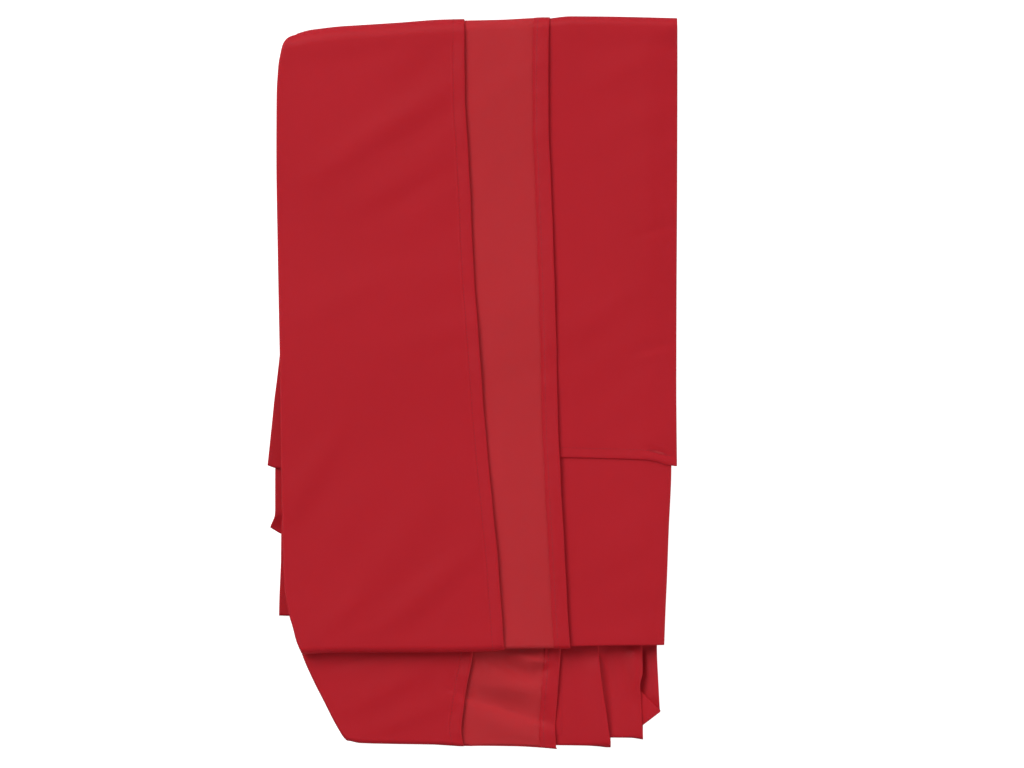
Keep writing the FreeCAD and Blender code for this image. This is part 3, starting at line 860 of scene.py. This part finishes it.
PLEAT_LEFT = 71 * MM
PLEAT_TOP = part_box("pleat_one")[1].y
pleat_one_edge = through((-337, 127.2), (-325, 125), (-309, 123), (-297, 121), (-280, 118.6),
                         (-262, 116.6), (-243, 115.4), (-100, 110), (320, 106))
pleat_two_edge = through((-329, 156.8), (-314, 155.8), (-294, 154.9), (-281, 154),
                         (-270, 156.4), (-243, 155.9), (-100, 150), (320, 142))
pleat_three_edge = through((-306, 172.8), (-302, 172.4), (-281, 171.2), (-243, 169.6),
                           (100, 172), (320, 174))
pleat_one_end = through((70, -333.8), (78, -334), (104, -334.4), (117, -335.2),
                        (124, -336), (128, -336))
pleat_two_end = through((70, -326.4), (128, -327), (146, -327.2), (157, -328.8))
pleat_three_end = through((70, -280), (150, -286), (157, -291.5), (165, -298.6),
                          (172.4, -302.6))
pleat_one = folded_edge("pleat_one_cloth", "pleat_one", PLEAT_LEFT, pleat_one_edge,
                        PLEAT_TOP, pleat_one_end, middle("pleat_one"), 1, 0.75 * MM,
                        15 * MM, 190, pleat_one_relief, PLEAT_END_Z)
pleat_two = folded_edge("pleat_two_cloth", "pleat_two", PLEAT_LEFT, pleat_two_edge,
                        PLEAT_TOP, pleat_two_end, middle("pleat_two"), 1, 0.6 * MM,
                        14 * MM, 190, pleat_two_relief, PLEAT_END_Z)
pleat_three = folded_edge("pleat_three_cloth", "pleat_three", PLEAT_LEFT,
                          pleat_three_edge, PLEAT_TOP, pleat_three_end,
                          middle("pleat_three"), 1, 0.6 * MM, 12 * MM, 190,
                          pleat_three_relief)

# ---- Turned corner --------------------------------------------------------------------------
# The cloth beside the last pleat is folded back on the diagonal, so a small triangle of
# it lies over the pleat's end and runs in under the second pleat.
corner_z = middle("turned_corner") + 0.5 * MM
corner_tip = np.array(((173.0, -302.3), (172.8, -303.3))) * MM
corner_root = np.array(((140, -270), (147, -322.9))) * MM
CORNER_R = 0.3 * MM
rim = [(CORNER_R * (1 - math.cos(a)), CORNER_R * (math.sin(a) - 1)) for a in arc(5, -90, 90)]
rim.insert(0, (2.5 * MM, -2 * CORNER_R))
patch = []
for inset, drop in rim + [(None, f) for f in np.linspace(0.1, 0.9, 9)] + rim[::-1]:
    row = []
    after_middle = len(patch) > len(rim)
    for g in np.linspace(0, 1, 26):
        upper, lower = corner_root + (corner_tip - corner_root) * g
        width = np.linalg.norm(lower - upper)
        share = drop if inset is None else min(inset / width, 0.45)
        if inset is not None and after_middle:
            share = 1 - share
        rise = 0.7 * MM * math.sin(math.pi * share) * (1 - g)
        down = drop if inset is not None else 0
        row.append((*(upper + (lower - upper) * share), corner_z + rise + down))
    patch.append(row)
turned_corner = woven("turned_corner_flap", np.array(patch), flip=True)
finish_cloth(turned_corner)
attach(turned_corner, "base_packet")
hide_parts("turned_corner")

# ---- Tucked edges -----------------------------------------------------------------------------
# Three folded edges of inner leaves stand out at the left, one below another. The end of
# the middle one flares out and hangs down.
TUCK_INNER = -152 * MM


def middle_tuck_relief(x, y, away):
    return -4.6 * MM * ease(-y, 119 * MM, 137 * MM)


tuck_upper_edge = through((-80, -189.2), (-71, -188.2), (-53, -186.3), (-34, -184.3),
                          (-16, -182.5), (2, -180.2), (21, -178), (40, -176))
tuck_middle_edge = through((-139, -186.6), (-133.6, -186.4), (-128, -184.2),
                           (-122.5, -182.2), (-117, -181.8), (-90, -181.8), (-50, -181))
tuck_lower_edge = through((-214, -178.3), (-200, -178), (-181, -177.2), (-163, -176.5),
                          (-139, -176.3), (-120, -176))
tuck_upper_end = through((-189, -76.4), (-181, -79), (-150, -82))
tuck_middle_end = through((-186.4, -133.9), (-176, -139.8), (-150, -146))
tuck_lower_end = through((-178, -215), (-150, -215.6))
left_tuck_upper = folded_edge("left_tuck_upper_cloth", "left_tuck_upper", TUCK_INNER,
                              tuck_upper_edge, 58 * MM, tuck_upper_end,
                              middle("left_tuck_upper"), -1, 0.8 * MM, 14 * MM, 60)
left_tuck_middle = folded_edge("left_tuck_middle_cloth", "left_tuck_middle", TUCK_INNER,
                               tuck_middle_edge, -58 * MM, tuck_middle_end,
                               middle("left_tuck_middle"), -1, 0.6 * MM, 10 * MM, 50,
                               middle_tuck_relief)
left_tuck_lower = folded_edge("left_tuck_lower_cloth", "left_tuck_lower", TUCK_INNER,
                              tuck_lower_edge, -122 * MM, tuck_lower_end,
                              middle("left_tuck_lower"), -1, 0.6 * MM, 10 * MM, 40)

# ---- Stitching -----------------------------------------------------------------------------------
# Each hem is held by one row of lock stitches. The thread is coloured darker than the cloth, which
# paints the shade of the groove that the stitches draw over the thread's own red. One stitch is
# modelled and copied along the row, sunk a little into the cloth.
STITCH = 2.3 * MM
PITCH = 3.1 * MM
THREAD_W = 0.42 * MM
bpy.ops.object.select_all(action="DESELECT")
bpy.ops.mesh.primitive_uv_sphere_add(segments=6, ring_count=5, radius=0.5)
one = bpy.context.object
one.rotation_euler = (0, math.pi / 2, 0)
bpy.ops.object.transform_apply(rotation=True)
one.scale = (STITCH, THREAD_W, THREAD_W * 0.7)
bpy.ops.object.transform_apply(scale=True)
stitch_points = np.array([v.co for v in one.data.vertices])
stitch_faces = [list(face.vertices) for face in one.data.polygons]
bpy.data.objects.remove(one)

thread = bpy.data.materials.new("thread_and_painted_groove_shade")
thread.use_nodes = True
twist = thread.node_tree.nodes.new("ShaderNodeTexWave")
twist.inputs["Scale"].default_value = 1400
twist.bands_direction = "DIAGONAL"
where = thread.node_tree.nodes.new("ShaderNodeTexCoord")
strands = thread.node_tree.nodes.new("ShaderNodeBump")
strands.inputs["Strength"].default_value = 0.4
strands.inputs["Distance"].default_value = 0.05 * MM
spun = thread.node_tree.nodes.new("ShaderNodeMix")
spun.data_type = "RGBA"
# both tones are darker than the cloth: painted shade of the stitch groove over the thread's own
# colour
spun.inputs["A"].default_value = srgb(138, 18, 28)
spun.inputs["B"].default_value = srgb(160, 26, 38)
strand = thread.node_tree.nodes["Principled BSDF"]
strand.inputs["Roughness"].default_value = 0.65
join = thread.node_tree.links.new
join(where.outputs["Object"], twist.inputs["Vector"])
join(twist.outputs["Fac"], spun.inputs["Factor"])
join(twist.outputs["Fac"], strands.inputs["Height"])
join(spun.outputs["Result"], strand.inputs["Base Color"])
join(strands.outputs["Normal"], strand.inputs["Normal"])


def stitch_row(name, node, line, outward, bend=None):
    """Stitches along a line of points, on the side of the cloth that outward gives."""
    gaps = np.linalg.norm(np.diff(line, axis=0), axis=1)
    run = np.concatenate([[0], np.cumsum(gaps)])
    middles = np.arange(PITCH, run[-1] - PITCH, PITCH)
    points, faces = [], []
    for k, s in enumerate(middles):
        here, ahead, behind = (np.array([np.interp(t, run, line[:, i]) for i in range(3)])
                               for t in (s, s + 1 * MM, s - 1 * MM))
        along = (ahead - behind) / np.linalg.norm(ahead - behind)
        up = np.array([np.interp(s, run, outward[:, i]) for i in range(3)])
        side = np.cross(up, along)
        side /= np.linalg.norm(side)
        up = np.cross(along, side)
        turn = np.stack([along, side, up])
        placed = stitch_points @ turn + here + up * (CLOTH / 2 - 0.05 * MM)
        faces += [[i + k * len(stitch_points) for i in face] for face in stitch_faces]
        points.append(placed)
    mesh = bpy.data.meshes.new(name)
    mesh.from_pydata(np.concatenate(points).tolist(), [], faces)
    mesh.materials.append(thread)
    mesh.polygons.foreach_set("use_smooth", [True] * len(mesh.polygons))
    piece = bpy.data.objects.new(name, mesh)
    bpy.context.scene.collection.objects.link(piece)
    if bend:
        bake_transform(piece)
    else:
        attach(piece, "top_packet")
    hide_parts(node)
    return piece


def outward_of(grid, column, sense):
    """The normals of a grid along one column, and the points there."""
    across = grid[:, column + 1] - grid[:, column - 1]
    along = np.gradient(grid[:, column], axis=0)
    out = np.cross(across, along) * sense
    return grid[:, column], out / np.linalg.norm(out, axis=1)[:, None]


on_face = np.argmin(np.abs(off + HEM - STITCH_IN) + 10 * (near < 1) + 10 * (height < FRONT_Z))
on_hem = np.argmin(np.abs(off + REVERSE_HEM - STITCH_IN) + 10 * (far < 1)
                   + 10 * (height < REVERSE_Z + 1.5 * EDGE_R))
stitch_row("front_leaf_stitches", "front_leaf_stitching",
           *outward_of(upper_grid, on_face, -1), OUTER_BEND)
stitch_row("reverse_leaf_stitches", "reverse_leaf_stitching",
           *outward_of(upper_grid, on_hem, -1), OUTER_BEND)
LOWER_ROWS = UNDER_ROWS + TURN_ROWS                  # where the inner cloth's lower leaf begins
line, out = outward_of(inner_grid, on_face, 1)
stitch_row("turned_front_stitches", "turned_front_stitching",
           line[:UNDER_ROWS], out[:UNDER_ROWS])
stitch_row("lower_front_stitches", "lower_front_stitching",
           line[LOWER_ROWS:], out[LOWER_ROWS:], INNER_BEND)
line, out = outward_of(inner_grid, on_hem, 1)
stitch_row("turned_reverse_stitches", "turned_reverse_stitching",
           line[:UNDER_ROWS], out[:UNDER_ROWS])
stitch_row("lower_reverse_stitches", "lower_reverse_stitching",
           line[LOWER_ROWS:], out[LOWER_ROWS:], INNER_BEND)
shown = slice(1, 48)
hem_row = 8 + int(np.argmin(np.abs(right_grid[8:40, 24, 1] - right_grid[7, 24, 1]
                                   - END_HEM + STITCH_IN)))
line = right_grid[hem_row, shown]
stitch_row("right_end_stitches", "right_end_stitching", line,
           np.tile([0.0, 0.0, 1.0], (len(line), 1)))

# ---- Camera, floor and light ---------------------------------------------------------
LENS = 200
VIEW = 0.9395                                       # width that the camera takes in
eye = bpy.data.cameras.new("camera")
eye.lens = LENS
eye.sensor_width = 36
eye.clip_end = 50
camera = bpy.data.objects.new("camera", eye)
camera.location = (0.0363, -0.0014, cad_box[1][2] + VIEW * LENS / eye.sensor_width)
bpy.context.scene.collection.objects.link(camera)
bpy.context.scene.camera = camera

bpy.ops.object.select_all(action="DESELECT")
bpy.ops.mesh.primitive_plane_add(size=12, location=(0, 0, -0.0004))
floor = bpy.context.object
floor.name = "floor"
pale = bpy.data.materials.new("floor")
pale.use_nodes = True
paper = pale.node_tree.nodes["Principled BSDF"]
paper.inputs["Base Color"].default_value = (0.5, 0.5, 0.5, 1)
paper.inputs["Roughness"].default_value = 0.9
paper.inputs["Emission Color"].default_value = (1, 1, 1, 1)
seen = pale.node_tree.nodes.new("ShaderNodeLightPath")
glow = pale.node_tree.nodes.new("ShaderNodeMath")
glow.operation = "MULTIPLY"
glow.inputs[1].default_value = 0.95
pale.node_tree.links.new(seen.outputs["Is Camera Ray"], glow.inputs[0])
pale.node_tree.links.new(glow.outputs[0], paper.inputs["Emission Strength"])
floor.data.materials.append(pale)


def soft_light(name, place, size, power):
    """A square area light that faces the object."""
    lamp = bpy.data.lights.new(name, "AREA")
    lamp.size = size
    lamp.energy = power
    holder = bpy.data.objects.new(name, lamp)
    holder.location = place
    holder.rotation_euler = (-Vector(place)).to_track_quat("-Z", "Y").to_euler()
    bpy.context.scene.collection.objects.link(holder)


soft_light("key", (-5.1, 3.8, 6.0), 4.8, 445)
soft_light("window", (-1.2, 8.4, 5.6), 5.0, 245)
soft_light("fill", (6.5, -2.5, 3.2), 3.5, 208)
sky = bpy.data.worlds.new("studio")
sky.use_nodes = True
surround = sky.node_tree.nodes["Background"]
surround.inputs["Color"].default_value = (1, 1, 1, 1)
surround.inputs["Strength"].default_value = 0.19
bpy.context.scene.world = sky
bpy.context.scene.view_settings.view_transform = "Standard"
